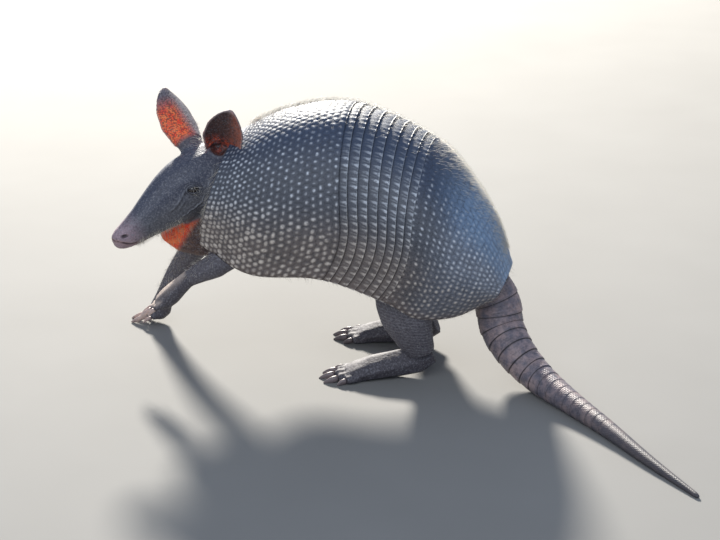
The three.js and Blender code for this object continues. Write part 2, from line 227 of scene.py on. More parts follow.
def scutes(u, q, u0, u1, rows, seed):
    """The nearest scute of the staggered rows: its distance, the gap to the next and its chance."""
    rng = np.random.default_rng(seed)
    table = (rows + 2, ROW_LIMIT)
    chance = rng.random(table)
    jitter = rng.normal(0, SCUTE_JITTER, (*table, 2))
    stretch = np.clip(1 + rng.normal(0, SCUTE_STRETCH, table), *STRETCH_LIMITS)
    arch, wall = shell_arc(u)
    round_arc = 2 * (arch + wall)
    row_at = (u - u0) / (u1 - u0) * rows
    row_length = (u1 - u0) / rows * length_along(u, q)
    best = np.full(len(u), 1e3)
    second = np.full(len(u), 1e3)
    mine = np.zeros(len(u))
    for shift in (-1, 0, 1):
        row = np.clip(np.floor(row_at) + shift, -1, rows).astype(int)
        row_u = np.clip(u0 + (row + 0.5) * (u1 - u0) / rows, 0, 1)
        a, w = shell_arc(row_u)
        count = np.minimum(SCUTES_ROUND, np.round(2 * (a + w) / CLOSEST_SCUTES))
        place = (q + 1) / 2 * count + 0.5 * (row % 2)
        for k_shift in (-1, 0, 1):
            k = np.floor(place) + k_shift
            key = (row + 1, np.clip(k, 0, ROW_LIMIT - 1).astype(int))
            off = jitter[key]
            dq = (place - k - 0.5 + off[:, 0]) * round_arc / count
            du = (row_at - row - 0.5 + off[:, 1]) * row_length
            d = np.hypot(dq * stretch[key], du / stretch[key])
            nearer = d < best
            second = np.where(nearer, best, np.minimum(second, d))
            mine = np.where(nearer, chance[key], mine)
            best = np.where(nearer, d, best)
    return best, second - best, mine


def length_along(u, q):
    """How many metres of shell lie in a unit of u, about this place."""
    step = 0.01
    ahead = shell_point(np.clip(u + step, 0, 1), q, 0.0)
    behind = shell_point(np.clip(u - step, 0, 1), q, 0.0)
    gone = np.clip(u + step, 0, 1) - np.clip(u - step, 0, 1)
    return length_of(ahead - behind)[:, 0] / gone


def on_grid(u0, u1, rows, cols):
    """A grid over the whole width of the shell from u0 to u1, as lists of u and of q."""
    u, q = np.meshgrid(np.linspace(u0, u1, rows), np.linspace(-1, 1, cols), indexing="ij")
    return u.ravel(), q.ravel()


def plate_object(name, u, q, shape, lift, pale, groove):
    """A plate of the shell, raised by lift, with what its finish needs: how pale and how grooved."""
    outer = shell_point(u, q, lift).reshape(*shape, 3)
    points, faces, inside = slab(outer, SHELL_THICK)
    blank = np.zeros(inside)
    obj = make_object(name, points, faces,
                      pale=np.append(pale, blank), groove=np.append(groove, blank),
                      side=np.append(np.abs(q), blank + 1), along=np.append(u, blank))
    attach(obj, "root")
    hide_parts(name)
    return obj


def shield(name, u0, u1, rows, shape, seed, rear_step):
    """A stiff shield: raised round scutes in staggered rows, their spots largest low in front."""
    u, q = on_grid(u0, u1, *shape)
    near, gap, chance = scutes(u, q, u0, u1, rows, seed)
    dome = smooth(DOME_FOOT, DOME_TOP, near)
    furrow = smooth(GROOVE_WIDTH, 0.0, gap)
    back = (u - u0) / (u1 - u0)
    lift = DOME_RISE * dome - GROOVE_DEPTH * furrow + rear_step * smooth(0.86, 1, back)
    margin = smooth(0.93, RIM_AT, np.abs(q))
    lift += RIM_BEAD * margin * (1 - smooth(RIM_AT, 1, np.abs(q)))
    low_front = smooth(0.5, 0.8, np.abs(q)) * smooth(0.5, 0.3, u)
    size = (0.68 + 0.4 * chance) * (1 + 0.6 * low_front) * MM
    pale = smooth(1.6, 0.5, near / size) * (0.4 + 0.6 * chance)
    return plate_object(name, u, q, shape, lift, pale, furrow)


def band(i):
    """A movable band: long narrow scutes, each with a pale wedge that widens to the rear edge."""
    length = (PELVIS_AT - FIRST_BAND_AT) / BAND_COUNT
    start = FIRST_BAND_AT + i * length
    u, q = on_grid(start - BAND_TUCKED * length, start + length * 1.02, *BAND_GRID)
    rng = np.random.default_rng(40 + i)
    chance = rng.random(SCUTES_ROUND + 2)
    uneven = rng.normal(0, 0.05, SCUTES_ROUND + 2)
    place = (q + 1) / 2 * SCUTES_ROUND + 0.5 * (i % 2)
    k = np.clip(np.floor(place), 0, SCUTES_ROUND + 1).astype(int)
    s = np.abs(place - np.floor(place) - 0.5)
    back = (u - start) / length + uneven[k] * (0.5 - s)
    reach = np.clip(back, 0, 1)
    half_wedge = 0.03 + 0.2 * reach**1.6
    wedge = smooth(half_wedge + 0.1, half_wedge - 0.06, s) * smooth(0.1, 0.8, reach)
    stria = smooth(0.44, 0.5, s) * smooth(0.1, 0.5, reach) * 0.3
    edge = smooth(0.93, 0.99, back)
    pale = np.maximum(wedge * (0.35 + 0.5 * chance[k]), stria)
    pale = np.maximum(pale, 0.45 * edge)
    furrow = smooth(0.4, 0.5, s) * 0.5 + smooth(0.05, 0.0, np.abs(s - half_wedge - 0.06)) * 0.3
    furrow = np.maximum(furrow, 0.7 * smooth(0.12, 0.0, reach))
    ridge = smooth(0.34, 0.1, np.abs(q))
    lift = -BAND_SUNK + BAND_RISE * smooth(-0.45, 1, back) - BAND_GROOVE * furrow
    lift += BAND_RIB * np.cos(2 * math.pi * place * 2) * reach
    lift += ridge * reach**2 * (0.5 + 0.9 * chance[k]) * (0.5 - s) * KEEL_RISE * MM
    return plate_object(f"band_{i + 1}", u, q, BAND_GRID, lift, pale, furrow)


shell = [shield("scapular_shield", 0.0, FIRST_BAND_AT + 0.004,
                rows=22, shape=(153, 425), seed=1, rear_step=0.8 * MM)]
shell += [band(i) for i in range(BAND_COUNT)]
shell += [shield("pelvic_shield", PELVIS_AT - 0.01, 1.0,
                 rows=18, shape=(161, 401), seed=2, rear_step=0.0)]


class Value:
    """A socket of a finish, so that shader maths reads as ordinary sums."""

    def __init__(self, tree, socket):
        self.tree = tree
        self.socket = socket

    def sum(self, operation, *others, swap=False):
        node = self.tree.nodes.new("ShaderNodeMath")
        node.operation = operation
        values = [self, *others]
        if swap:
            values.reverse()
        for slot, value in zip(node.inputs, values):
            plug(self.tree, slot, value)
        return Value(self.tree, node.outputs[0])

    def __add__(self, other):
        return self.sum("ADD", other)

    def __radd__(self, other):
        return self.sum("ADD", other)

    def __sub__(self, other):
        return self.sum("SUBTRACT", other)

    def __rsub__(self, other):
        return self.sum("SUBTRACT", other, swap=True)

    def __mul__(self, other):
        return self.sum("MULTIPLY", other)

    def __truediv__(self, other):
        return self.sum("DIVIDE", other)

    def sin(self):
        return self.sum("SINE")

    def ramp(self, low, high):
        """0 below low and 1 above high, or the other way round if low is the larger."""
        node = self.tree.nodes.new("ShaderNodeMapRange")
        node.interpolation_type = "SMOOTHSTEP"
        ends = (0.0, 1.0) if low < high else (1.0, 0.0)
        for slot, value in zip(node.inputs, (self, min(low, high), max(low, high), *ends)):
            plug(self.tree, slot, value)
        return Value(self.tree, node.outputs[0])


def plug(tree, slot, value):
    if isinstance(value, Value):
        tree.links.new(value.socket, slot)
    else:
        slot.default_value = value


class Finish:
    """A material made from nodes, read from the piece's own coordinates and attributes."""

    def __init__(self, name):
        self.material = bpy.data.materials.new(name)
        self.material.use_nodes = True
        self.tree = self.material.node_tree
        self.shader = self.tree.nodes["Principled BSDF"]
        self.place = self.node("ShaderNodeTexCoord", "Object")

    def node(self, kind, output, settings=(), **values):
        node = self.tree.nodes.new(kind)
        for key, value in dict(settings).items():
            setattr(node, key, value)
        for key, value in values.items():
            plug(self.tree, node.inputs[key.replace("_", " ")], value)
        return Value(self.tree, node.outputs[output])

    def attribute(self, name):
        return self.node("ShaderNodeAttribute", "Fac", {"attribute_name": name})

    def noise(self, size, detail=3.0, rough=0.55):
        return self.node("ShaderNodeTexNoise", "Fac", Vector=self.place, Scale=1 / size,
                         Detail=detail, Roughness=rough)

    def cells(self, size, feature="F1", place=None):
        return self.node("ShaderNodeTexVoronoi", "Distance", {"feature": feature},
                         Vector=place or self.place, Scale=1 / size)

    def scaled(self, factors):
        node = self.tree.nodes.new("ShaderNodeVectorMath")
        node.operation = "MULTIPLY"
        plug(self.tree, node.inputs[0], self.place)
        node.inputs[1].default_value = factors
        return Value(self.tree, node.outputs[0])

    def mix(self, fac, a, b):
        node = self.tree.nodes.new("ShaderNodeMix")
        node.data_type = "RGBA"
        plug(self.tree, node.inputs[0], fac)
        plug(self.tree, node.inputs[6], a if isinstance(a, Value) else (*a, 1.0))
        plug(self.tree, node.inputs[7], b if isinstance(b, Value) else (*b, 1.0))
        return Value(self.tree, node.outputs[2])

    def over(self, colour, *layers):
        """The colour with each layer, a share and a tint, laid over it in turn."""
        for share, tint in layers:
            colour = self.mix(share, colour, tint)
        return colour

    def bump(self, height, distance, strength):
        return self.node("ShaderNodeBump", "Normal", Height=height, Distance=distance, Strength=strength)

    def axis(self, index):
        node = self.tree.nodes.new("ShaderNodeSeparateXYZ")
        plug(self.tree, node.inputs[0], self.place)
        return Value(self.tree, node.outputs[index])

    def set(self, **values):
        for key, value in values.items():
            colour = isinstance(value, tuple) and len(value) == 3
            plug(self.tree, self.shader.inputs[key.replace("_", " ")], (*value, 1.0) if colour else value)
        return self.material


def shell_finish():
    """Slate on the back, grey on the flanks, brown low in front, with pale spots: partly the horn's own
    colour, partly painted shade darkening the top, and a painted blue sheen behind.
    """
    f = Finish("shell_horn")
    pale, groove, side, along = map(f.attribute, ("pale", "groove", "side", "along"))
    cloud = f.noise(20 * MM, 4.0)
    stain = f.noise(7 * MM, 4.0, 0.65)
    grain = f.noise(0.9 * MM, 3.0, 0.65)
    worn = f.noise(1.7 * MM, 2.0).ramp(0.3, 0.56)
    # rear: a painted blue sheen over the rear bands and the pelvic shield, as sky light gives it.
    rear = along.ramp(0.5, 0.74)
    # Darker slate on the top and paler grey and brown down the sides: partly the horn's own colour, partly
    # painted shade on the top.
    slate = f.mix(cloud, (0.022, 0.037, 0.078), (0.048, 0.072, 0.128))
    slate = f.mix(rear, slate, f.mix(cloud, (0.145, 0.235, 0.390), (0.240, 0.370, 0.540)))
    flank = f.mix(cloud, (0.062, 0.070, 0.092), (0.112, 0.120, 0.142))
    flank = f.mix(rear, flank, f.mix(cloud, (0.130, 0.155, 0.205), (0.265, 0.295, 0.355)))
    brown = f.mix(cloud, (0.085, 0.071, 0.066), (0.22, 0.175, 0.155))
    front_low = side.ramp(0.56, 0.86) * (1.0 - along.ramp(0.45, 0.62) * 0.55)
    # The spots are dimmed towards the top: partly painted shade there.
    bright = side.ramp(0.12, 0.4) * 0.85 + 0.15
    spot = f.mix(side.ramp(0.5, 0.8), (0.68, 0.72, 0.78), (0.70, 0.62, 0.54))
    colour = f.over(
        f.mix(side.ramp(0.22, 0.5), slate, flank),
        (front_low, brown),
        (side.ramp(0.9, 1.0) * 0.7, (0.17, 0.125, 0.105)),
        (stain.ramp(0.5, 0.72) * 0.35, (0.034, 0.036, 0.044)),
        # The pale grain is dimmed towards the top too: partly painted shade.
        (grain.ramp(0.45, 0.8) * (0.2 + side * 0.45), (0.21, 0.22, 0.245)),
        (grain.ramp(0.48, 0.3) * 0.4, (0.028, 0.030, 0.038)),
        (groove * 0.6, (0.022, 0.024, 0.030)),
        (pale * bright * (0.3 + worn * 0.7), spot),
    )
    height = grain * 0.6 + pale * 0.35 - groove * 0.5
    return f.set(Base_Color=colour, Roughness=0.44 + cloud * 0.2, Normal=f.bump(height, 0.25 * MM, 0.5))


shell_horn = shell_finish()
for plate in shell:
    plate.data.materials.append(shell_horn)

# ---------------------------------------------------------------- the skin
# One bare leathery skin over head, ears, throat, legs, feet and belly. It is grown from the
# solids of the flesh and the ears' own leaves, joined into one, and then worked into lids,
# nostrils, lips and folds.

VOXEL = 0.85 * MM
SCALE_ROW = 2.8 * MM
SKIN_TRIANGLES = 150000

# The flesh is grown by GROWN before the pieces are joined. Smoothing takes off about
# SMOOTHED_OFF, and the finished skin lies COAT_DEPTH inside the solids, below the hair.
GROWN = 0.7 * MM
SMOOTHED_OFF = 0.3 * MM
COAT_DEPTH = 0.2 * MM
BODY_PASSES = 11
BROAD_PASSES = 46
EAR_REACH = 2.5
FLESH = ["trunk", "head", "neck"]
LIMBS = [f"{side}_{end}" for side in ("left", "right") for end in ("fore", "hind")]
FLESH += [f"{limb}_{part}" for limb in LIMBS for part in ("upper", "lower", "foot")]
SIDES = {"left": 1, "right": -1}

# The middle of the skull and the head's turn: rolled, lowered and looking to its left.
HEAD_AT = BODY + np.array((-114, -9, 158.5)) * MM
HEAD_TURN = np.array(Euler([math.radians(a) for a in (-5.5, -23, 42)], "XYZ").to_matrix())


def in_head(place):
    """A place (ahead, left, crown) of the head, in millimetres from the middle of the skull."""
    ahead, left, crown = place
    return HEAD_TURN @ (-ahead, -left, crown) * MM + HEAD_AT


def to_head(points):
    """The points as (ahead, left, crown) of the head, in millimetres."""
    local = (points - HEAD_AT) @ HEAD_TURN / MM
    return local * (-1, -1, 1)


def activate(*objs):
    bpy.ops.object.select_all(action="DESELECT")
    for obj in objs:
        obj.select_set(True)
    bpy.context.view_layer.objects.active = objs[0]


@contextmanager
def opened(obj):
    """The object's mesh as a bmesh, written back at the end."""
    work = bmesh.new()
    work.from_mesh(obj.data)
    yield work
    work.to_mesh(obj.data)
    work.free()


def apply(obj, kind, **settings):
    """Puts one modifier on the object and applies it."""
    activate(obj)
    modifier = obj.modifiers.new(kind, kind)
    for key, value in settings.items():
        setattr(modifier, key, value)
    bpy.ops.object.modifier_apply(modifier=modifier.name)


def join(name, *parts):
    activate(*parts)
    bpy.ops.object.join()
    obj = bpy.context.view_layer.objects.active
    obj.name = obj.data.name = name
    return obj


def copy_of(nodes, name, grow=0.0):
    """The named solids as one new mesh, each grown outwards a little."""
    parts = []
    for node in nodes:
        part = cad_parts[node].copy()
        part.data = part.data.copy()
        part.parent = None
        part.hide_render = part.hide_viewport = False
        for key in list(part.keys()):
            del part[key]
        bpy.context.scene.collection.objects.link(part)
        with opened(part) as work:
            bmesh.ops.remove_doubles(work, verts=work.verts, dist=0.01 * MM)
            bmesh.ops.recalc_face_normals(work, faces=work.faces)
            work.normal_update()
            for v in work.verts:
                v.co += v.normal * grow
        part.data.materials.clear()
        parts.append(part)
    return join(name, *parts)


def vectors(obj, kind):
    """The points' places (co) or normals (normal), one to a row."""
    values = np.empty(len(obj.data.vertices) * 3, np.float32)
    obj.data.vertices.foreach_get(kind, values)
    return values.reshape(-1, 3).astype(float)


def set_coords(obj, co):
    obj.data.vertices.foreach_set("co", np.asarray(co, np.float32).ravel())
    obj.data.update()


def sphere(name, centre, radius):
    bpy.ops.object.select_all(action="DESELECT")
    bpy.ops.mesh.primitive_uv_sphere_add(segments=48, ring_count=32, radius=radius, location=(0, 0, 0))
    obj = bpy.context.active_object
    obj.name = obj.data.name = name
    set_coords(obj, vectors(obj, "co") + centre)
    return obj


# The eyes: where they sit in the head, their size, the thickness of the lids over them, and the
# slit's half length, slope, depth and half heights under the upper lid and over the lower.
EYE_AT = (29.8, 16.7, 3.8)
EYE_RADIUS = 4.6 * MM
LID_OVER_EYE = 0.75
SLIT_HALF = 4.2
SLIT_RISE = 0.42
SLIT_DEPTH = 3.4
UPPER_LID = 2.2
LOWER_LID = 1.7

# The ears: a leaf rolled nearly into a tube at its root. `up` is its length, `opening` the
# way it faces, `half` the half width of the flat leaf.
EAR_LENGTH = 55 * MM
EAR_THICK = 1.9 * MM
EARS = {
    "left": {"root": (-11, 10, 18.5), "up": (0.29, -0.62, 0.72),
             "opening": (-0.17, -0.84, -0.52), "half": 21},
    "right": {"root": (1.6, -10, 28.6), "up": (-0.62, 0.57, 0.53),
              "opening": (-0.6, 0.32, -0.73), "half": 23},
}


def ear_sheet(root, up, opening, half):
    """The middle sheet of an ear as a grid, the way outwards, and each point's height and side."""
    height, x = np.meshgrid(np.linspace(-0.16, 1, 72), np.linspace(-1, 1, 57), indexing="ij")
    share = np.clip(height, 0, 1)
    length = unit(np.array(up))
    across = unit(np.cross(length, opening))
    facing = unit(np.cross(across, length))
    wavy = 1 + 0.02 * np.sin(9 * height + 2) + 0.012 * np.sin(23 * height)
    half_width = (half * (1 - share)**0.62 * (1 + 0.5 * share) * wavy + 0.5) * MM
    roll = 0.6 + 1.25 * np.exp(-3.2 * share)
    half_width = half_width * (0.8 + 0.2 * smooth(0.0, 0.38, share))
    radius = half_width / roll
    out = across * np.sin(x * roll)[..., None] - facing * np.cos(x * roll)[..., None]
    centre = in_head(root) + length * (EAR_LENGTH * height)[..., None] + facing * radius[..., None]
    ripple = 0.25 * MM * np.sin(7 * x + 11 * height) * share
    return centre + out * (radius + ripple)[..., None], out, height, x


def ear_leaf(side, sheet, out, x):
    """The closed leaf about an ear's middle sheet, a little thinner towards its sides."""
    rows, cols = sheet.shape[:2]
    half = (EAR_THICK / 2 * (1 - 0.25 * x**2))[..., None]
    index = np.arange(rows * cols).reshape(rows, cols)
    top = np.stack((index[:-1, :-1], index[1:, :-1], index[1:, 1:], index[:-1, 1:]), -1).reshape(-1, 4)
    edge = np.concatenate((index[0, :-1], index[:-1, -1], index[-1, :0:-1], index[:0:-1, 0]))
    nxt = np.roll(edge, -1)
    far = rows * cols
    rim = np.stack((edge, nxt, nxt + far, edge + far), -1)
    verts = np.vstack(((sheet + out * half).reshape(-1, 3), (sheet - out * half).reshape(-1, 3)))
    return make_object(f"ear_leaf_{side}", verts, [top, top[:, ::-1] + far, rim])


sheets = {side: ear_sheet(**ear) for side, ear in EARS.items()}
body = copy_of(FLESH, "flesh", grow=GROWN)
leaves = [ear_leaf(side, sheet, out, x) for side, (sheet, out, height, x) in sheets.items()]
for side, turn in SIDES.items():
    centre = in_head((EYE_AT[0], EYE_AT[1] * turn, EYE_AT[2]))
    leaves.append(sphere(f"lid_bulge_{side}", centre, EYE_RADIUS + LID_OVER_EYE * MM + GROWN))
skin = join("skin", body, *leaves)
apply(skin, "REMESH", mode="VOXEL", voxel_size=VOXEL, use_smooth_shade=True)


def near_ears(points):
    """Each point's distance to the nearest ear in mm, and its height, side and face on that ear."""
    tree = KDTree(sum(s[0][..., 0].size for s in sheets.values()))
    spots = np.vstack([s[0].reshape(-1, 3) for s in sheets.values()])
    outs = np.vstack([s[1].reshape(-1, 3) for s in sheets.values()])
    heights = np.concatenate([s[2].ravel() for s in sheets.values()])
    sides = np.concatenate([s[3].ravel() for s in sheets.values()])
    for i, spot in enumerate(spots.tolist()):
        tree.insert(spot, i)
    tree.balance()
    far_off = 99.0
    distance = np.full(len(points), far_off)
    height = np.full(len(points), -1.0)
    across = np.zeros(len(points))
    inside = np.zeros(len(points))
    h = to_head(points)
    close = np.flatnonzero((np.abs(h[:, 0]) < 60) & (h[:, 2] > 0))
    for i, p in zip(close, points[close].tolist()):
        spot, j, d = tree.find(p)
        distance[i] = d / MM
        height[i] = heights[j]
        across[i] = sides[j]
        inside[i] = (np.array(p) - spots[j]) @ outs[j] < 0
    return distance, height, across, inside


def weigh(obj, name, weights):
    """A vertex group of the given weights, in steps of a tenth."""
    group = obj.vertex_groups.new(name=name)
    steps = np.round(np.clip(weights, 0, 1) * 10).astype(int)
    for step in range(1, 11):
        group.add(np.flatnonzero(steps == step).tolist(), step / 10, "REPLACE")


# The shell's front edge as (x, z) at its top and foot, and how far in from its edges and how
# far back a point of the skin counts as hidden by it.
COLLAR_TOP = (-99, 187)
COLLAR_FOOT = (-120, 106)
HIDDEN_ABOVE = 8
HIDDEN_BEHIND = 14
HIDDEN_TO = 106


def under_shell(points):
    """Whether each point of the skin is hidden by the shell."""
    p = (points - BODY) / MM
    line = CARAPACE / MM
    margin = np.interp(p[:, 0], line[:, 4], line[:, 5])
    run = COLLAR_TOP[0] - COLLAR_FOOT[0]
    rise = COLLAR_TOP[1] - COLLAR_FOOT[1]
    collar = COLLAR_TOP[0] - (COLLAR_TOP[1] - p[:, 2]) * run / rise
    behind_collar = p[:, 0] > collar + HIDDEN_BEHIND
    return (p[:, 2] > margin + HIDDEN_ABOVE) & behind_collar & (p[:, 0] < HIDDEN_TO)


# First the whole skin is smoothed, the ears least. Then the trunk, the neck and the skull are
# smoothed much more, but not the ears, the snout or the feet.
co = vectors(skin, "co")
distance, height, across, inside = near_ears(co)
weigh(skin, "body", 1 - 0.75 * (distance < EAR_REACH) * (height > 0.02))
apply(skin, "SMOOTH", factor=0.5, iterations=BODY_PASSES, vertex_group="body")
co = vectors(skin, "co")
h = to_head(co)
distance, height, across, inside = near_ears(co)
above_floor = (co - BODY)[:, 2] / MM
skull = smooth(90, 62, h[:, 0]) * smooth(12, 14, above_floor)
trunk = smooth(20, 36, above_floor)
weigh(skin, "broad", smooth(3, 5, distance) * np.where(h[:, 0] > -15, skull, trunk))
apply(skin, "SMOOTH", factor=0.5, iterations=BROAD_PASSES, vertex_group="broad")
co = vectors(skin, "co")
distance, height, across, inside = near_ears(co)
on_ear = (distance < EAR_REACH) & (height > 0.04)
shrink = np.where(on_ear, 0.0, GROWN - SMOOTHED_OFF + COAT_DEPTH)
set_coords(skin, co - vectors(skin, "normal") * shrink[:, None])

# The skin under the shell never shows, so it is thinned out most, and the head and ears not
# at all.
co = vectors(skin, "co")
h = to_head(co)
on_skull = (h[:, 0] > -14) & (np.abs(h[:, 1]) < 28) & (np.abs(h[:, 2]) < 30)
fine = on_skull | (distance < EAR_REACH)
weigh(skin, "plain", np.where(fine, 0, np.where(under_shell(co), 1, 0.5)))
kept = SKIN_TRIANGLES / sum(len(p.vertices) - 2 for p in skin.data.polygons)
apply(skin, "DECIMATE", decimate_type="COLLAPSE", ratio=kept, vertex_group="plain")
skin.vertex_groups.clear()


def refine(obj, chosen, cuts):
    """Divides the faces whose points are all chosen."""
    picked = set(np.flatnonzero(chosen).tolist())
    with opened(obj) as work:
        edges = {e for f in work.faces if all(v.index in picked for v in f.verts) for e in f.edges}
        bmesh.ops.subdivide_edges(work, edges=list(edges), cuts=cuts, use_grid_fill=True)
        bmesh.ops.triangulate(work, faces=[f for f in work.faces if len(f.verts) > 4])


# The lids and the snout are worked finely, so their faces are divided.
h = to_head(vectors(skin, "co"))
refine(skin, np.linalg.norm(np.abs(h) - EYE_AT, axis=1) < 9.5, cuts=2)
h = to_head(vectors(skin, "co"))
snout = (h[:, 0] > 80) & (np.abs(h[:, 1]) < 20) & (h[:, 2] < 20) & (h[:, 2] > -30)
refine(skin, snout, cuts=1)


# The hollow where the left ear's opening runs down into the skull, and its reach in millimetres.
EAR_WELL = BODY + np.array((-109.0, -17.5, 179.0)) * MM
WELL_REACH = 7.5


def path_distance(points, path):
    """The distance from each point to a line through the given places."""
    path = np.array(path, float)
    best = np.full(len(points), 1e3)
    for a, b in zip(path[:-1], path[1:]):
        t = np.clip((points - a) @ (b - a) / ((b - a) @ (b - a)), 0, 1)
        best = np.minimum(best, np.linalg.norm(points - a - t[:, None] * (b - a), axis=1))
    return best


def bell(distance, width):
    """1 at no distance, falling softly to nothing over about twice the width."""
    return np.exp(-(distance / width)**2)


# Lines of the face through places (ahead, aside, crown): folds behind the eye and along the
# jaw, below them, and in front of the eye down the cheek; and the mouth.
JAW_FOLD = [(6, 21, 13), (12, 21.5, 7), (17.6, 22.2, 2.6), (25, 20.5, -4.8), (30, 18.4, -9.4),
            (39.5, 16, -11.2), (47.6, 13.3, -13), (57, 10.5, -14.6), (66, 9.8, -13)]
LOWER_FOLD = [(16, 22.5, -3), (24, 20.5, -10), (34, 17, -14), (46, 13, -16.5)]
CHEEK_FOLD = [(35.2, 18.3, 6.7), (38, 17.8, 5.1), (42.5, 17.2, 2.6), (46.4, 16.7, -0.8), (53, 15.1, -3)]
MOUTH = [(101.4, 0, -3.6), (99.4, 5.2, -4.6), (96.2, 7.4, -7.6), (92.4, 7.5, -11.1), (87, 6.6, -13.4)]
MOUTH_DEPTH = 1.1
MOUTH_WIDTH = 0.6
NOSTRIL = (93.2, 7.6, -3.2)
NOSTRIL_DEPTH = 2.0

# Each fold as its line, how far above the line it runs, its height, its width and how pale: the pale is a
# painted highlight on its crest, and the trough beside it gets painted shade.
FOLDS = (
    (JAW_FOLD, 0, 0.6, 0.9, 1.0),
    (JAW_FOLD, -2.6, 0.4, 0.8, 0.7),
    (JAW_FOLD, 2.8, 0.3, 0.9, 0.45),
    (LOWER_FOLD, 0, 0.45, 0.9, 0.6),
    (CHEEK_FOLD, 0, 0.4, 1.1, 0.7),
    (CHEEK_FOLD, -4.5, 0.25, 1.0, 0.35),
)


def work_face(h, out, well):
    """Moves the head's points into folds, mouth, nostrils and the ear's well; also painted highlights on
    the fold crests, and painted shade in the troughs, the mouth and the nostrils.
    """
    aside = h * (1, 0, 1) + np.abs(h) * (0, 1, 0)
    way = np.where(h[:, 1] < 0, -1.0, 1.0)
    on_head = (h[:, 0] > -9) & (h[:, 2] < 30) & (h[:, 2] > -30) & (np.abs(h[:, 1]) < 26)
    lift = np.zeros(len(h))
    pale = np.zeros(len(h))
    dark = np.zeros(len(h))
    shake = np.sin(h[:, 0] * 0.9 + 1.3) * 0.35 + np.sin(h[:, 0] * 2.3) * 0.2
    wavy = aside + np.column_stack((0 * shake, 0 * shake, shake))
    broken = 0.6 + 0.4 * np.sin(h[:, 0] * 1.7 + h[:, 2])
    for path, above, high, wide, light in FOLDS:
        crest = path_distance(wavy - (0, 0, above), path)
        beside = path_distance(wavy - (-1.3, 0, above - 1.3), path)
        lift += high * (bell(crest, wide) - 0.8 * bell(beside, wide))
        # The crest is painted pale as a highlight, and the trough beside it dark as shade.
        pale += bell(crest, wide * 0.7) * light * broken
        dark += bell(beside, wide) * light * 0.7
    lift += 0.8 * bell(well - WELL_REACH - 0.8, 0.9) - 2.4 * smooth(WELL_REACH, 2, well)
    mouth = bell(path_distance(aside, MOUTH), MOUTH_WIDTH)
    lift -= MOUTH_DEPTH * mouth
    lift += 0.45 * bell(path_distance(aside + (0, 0, 1.6), MOUTH), 0.9)
    dark += 1.1 * mouth
    n = aside - NOSTRIL
    oval = np.sqrt((n[:, 0] / 2.0)**2 + (n[:, 1] / 2.2)**2 + ((n[:, 2] - 0.2 * n[:, 0]) / 1.1)**2)
    pit = bell(oval, 1.15)
    at_nose = h[:, 0] > 86
    lift += 0.35 * bell(oval - 1.7, 0.5) * at_nose
    h = h - np.column_stack((pit * 0.3, pit * way * NOSTRIL_DEPTH, 0 * pit)) * at_nose[:, None]
    dark += pit * 1.6
    return h + out * (lift * on_head)[:, None], on_head, pale, dark


def work_lids(h):
    """Moves the points round each eye into lids with a slit between them; also painted highlights on the
    lid ridges and margin, and painted shade in the creases and the slit.
    """
    axis = unit(np.array((0.2, 0.96, 0.1)))
    slit = unit(np.cross((0.0, 0.0, 1.0), axis) * (-1, -1, 1) + (0, 0, SLIT_RISE))
    over = unit(np.cross(slit, axis))
    over = over if over[2] > 0 else -over
    way = np.where(h[:, 1] < 0, -1.0, 1.0)
    mirrored = h * np.column_stack((np.ones(len(h)), way, np.ones(len(h))))
    e = mirrored - EYE_AT
    a, b, depth = e @ slit, e @ over, e @ axis
    ring = np.hypot(a, b)
    front = (depth > 0) & (ring < 8) & (np.linalg.norm(e, axis=1) < 11)
    lid = unit(e) * (EYE_RADIUS / MM + LID_OVER_EYE)
    hold = smooth(6.4, 3.8, ring) * front
    e = e + (lid - e) * hold[:, None]
    half = np.where(b > 0, UPPER_LID, LOWER_LID) * np.maximum(1 - (a / SLIT_HALF)**2, 0.0)**0.7
    gap = np.abs(b) / np.maximum(half, 0.05)
    inside_slit = smooth(1.08, 0.86, gap) * (np.abs(a) < SLIT_HALF) * front
    e = e - axis * (inside_slit * SLIT_DEPTH)[:, None]
    oval = np.hypot(a / 1.35, b)
    rings = bell(oval - 3.5, 0.35) * 0.3 + bell(oval - 4.7, 0.4) * 0.28 + bell(oval - 6.0, 0.45) * 0.2
    beside_slit = np.abs(a) < SLIT_HALF + 1
    margin = bell(gap - 1.35, 0.25) * beside_slit * 0.3
    e = e + axis * ((margin - rings) * front * (1 - inside_slit))[:, None]
    mirrored = np.where(front[:, None], e + EYE_AT, mirrored)
    h = mirrored * np.column_stack((np.ones(len(h)), way, np.ones(len(h))))
    pale = front * (bell(oval - 4.1, 0.35) * 0.45 + bell(gap - 1.5, 0.35) * beside_slit * 0.5)
    dark = front * (rings * 2.2 + inside_slit + bell(oval - 3.0, 1.1) * 0.55)
    return h, pale, dark


def work_head(points):
    """Works the face and the lids; returns the points with their painted highlights (pale) and painted
    shade (dark).
    """
    h = to_head(points)
    out = vectors(skin, "normal") @ HEAD_TURN * (-1, -1, 1)
    well = length_of(points - EAR_WELL)[:, 0] / MM
    h, on_head, pale, dark = work_face(h, out, well)
    h, lid_pale, lid_dark = work_lids(h)
    points = (h * (-1, -1, 1) * MM) @ HEAD_TURN.T + HEAD_AT
    return points, (pale + lid_pale) * on_head, (dark + lid_dark) * on_head


co, pale, dark = work_head(vectors(skin, "co"))
co[:, 2] = np.maximum(co[:, 2], 0)
set_coords(skin, co)


def reach_of(nodes, points, most=7.0):
    """How far each point lies from the named solids in millimetres, up to `most`."""
    far = np.full(len(points), most)
    for node in nodes:
        low, high = (np.array(corner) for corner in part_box(node))
        inside_box = ((points > low - most * MM) & (points < high + most * MM)).all(1)
        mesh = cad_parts[node].data
        tree = BVHTree.FromPolygons([v.co for v in mesh.vertices], [p.vertices[:] for p in mesh.polygons])
        for i, p in zip(np.flatnonzero(inside_box), points[inside_box].tolist()):
            far[i] = min(far[i], tree.find_nearest(p)[3] / MM)
    return far


def part_share(nodes, points):
    """How much each point belongs to the named solids, from 0 to 1."""
    return smooth(4.5, 1.5, reach_of(nodes, points))


